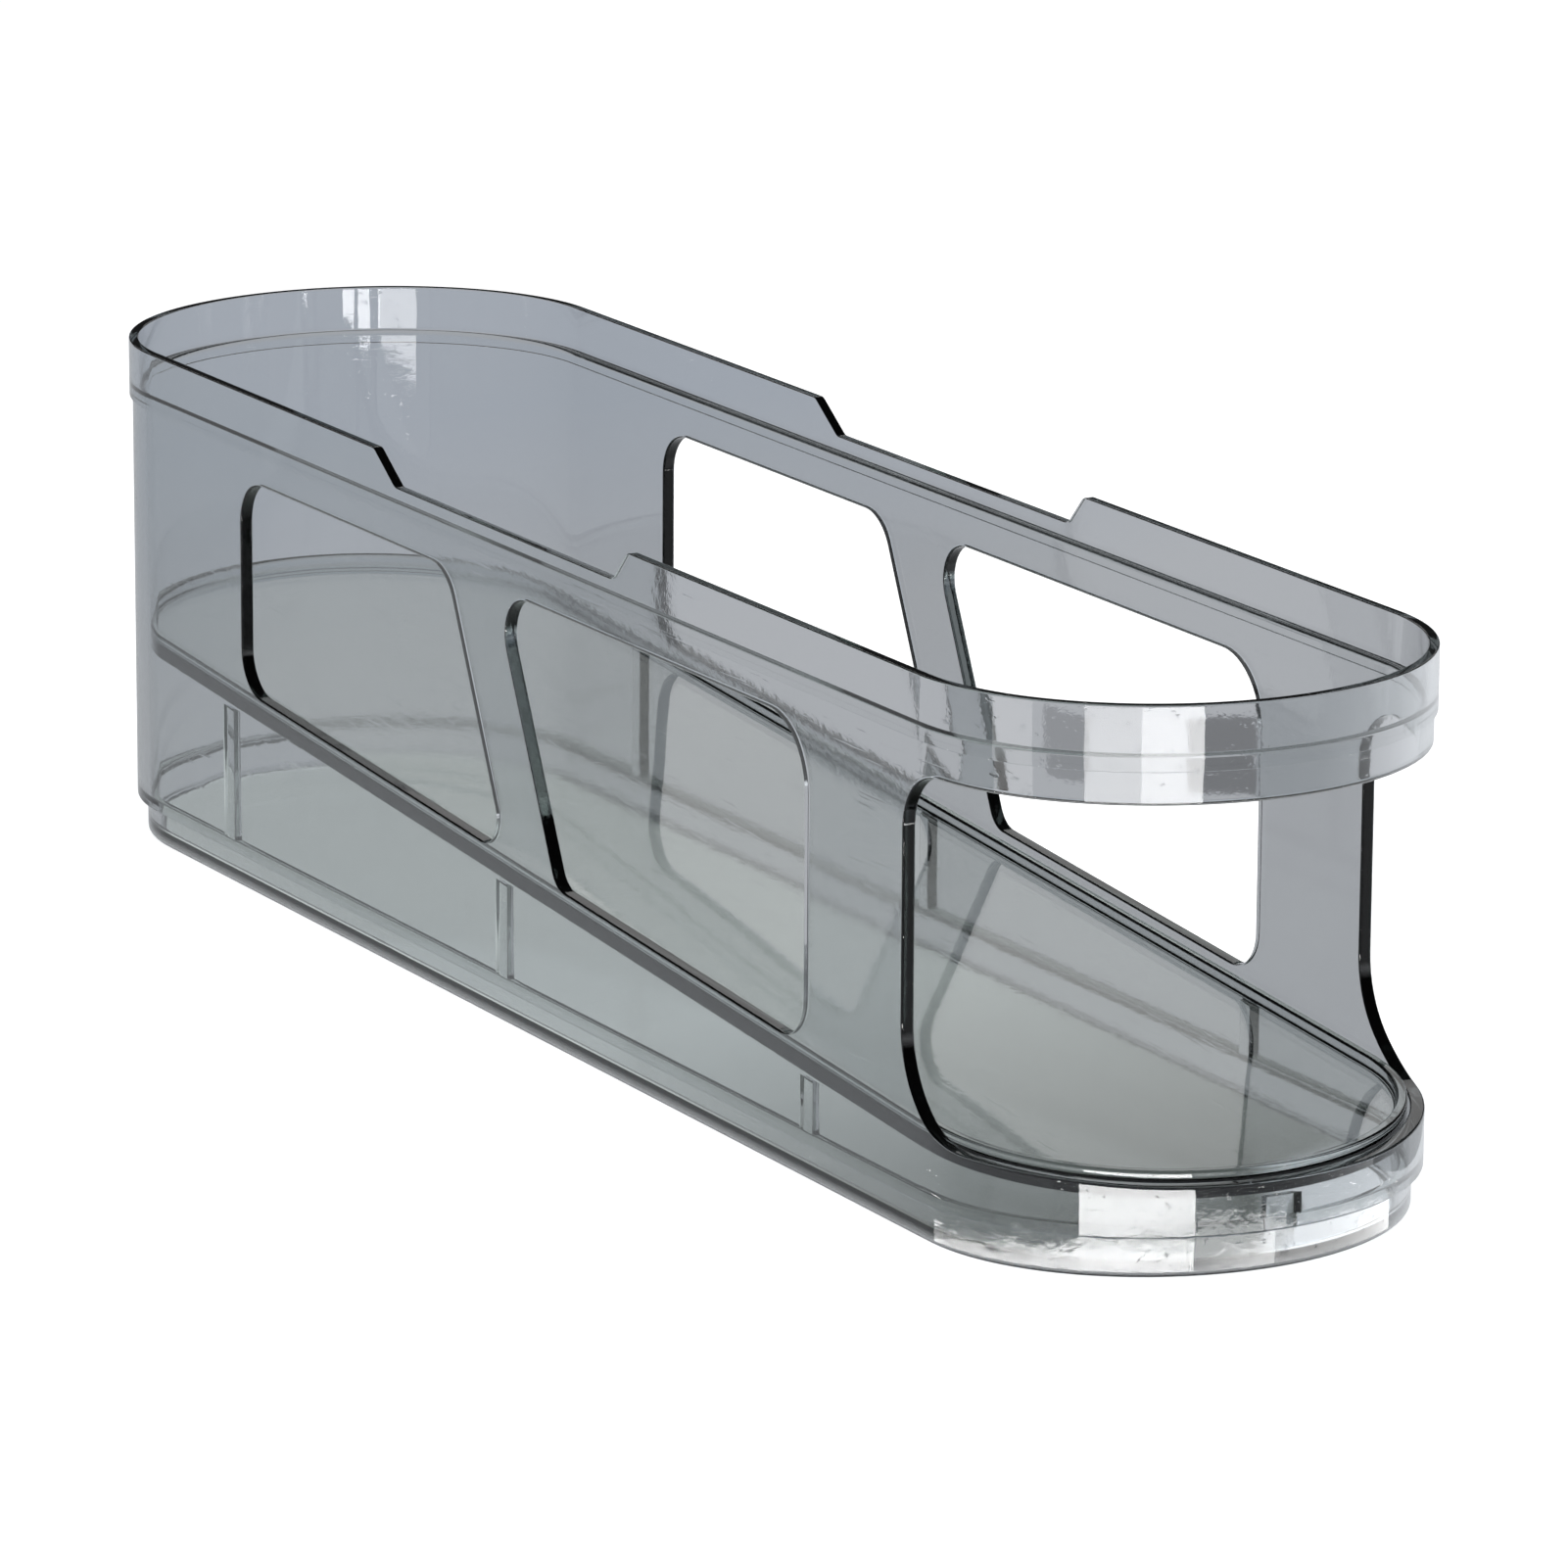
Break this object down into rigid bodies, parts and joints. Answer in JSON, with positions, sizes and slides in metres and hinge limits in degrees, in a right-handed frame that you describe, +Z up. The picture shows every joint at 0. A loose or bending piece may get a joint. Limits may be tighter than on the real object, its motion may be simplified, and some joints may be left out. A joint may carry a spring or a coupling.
{
  "type": "egg dispenser",
  "caption": "Long clear case with rounded ends, open top, side windows and a front mouth, holding a loose sloping tray that feeds the mouth.",
  "frame": {"origin": "middle of the footprint, on the surface that the case stands on", "axes": "+Z up, Y along the case with the mouth at -Y, X across it"},
  "size_m": [0.0902, 0.3582, 0.0935],
  "materials": {
    "case_plastic": "clear moulded plastic, polished, with a faint cool tint",
    "tray_plastic": "clear moulded plastic, polished, with a faint cool tint"
  },
  "bodies": {
    "case_body": {"case": "case_plastic"},
    "tray_body": {"ramp_tray": "tray_plastic"}
  },
  "joints": [
    {"name": "tray_lift", "type": "slide", "parent": "case_body", "child": "tray_body", "axis": [0, 0, 1], "range_m": [0, 0.09]}
  ]
}
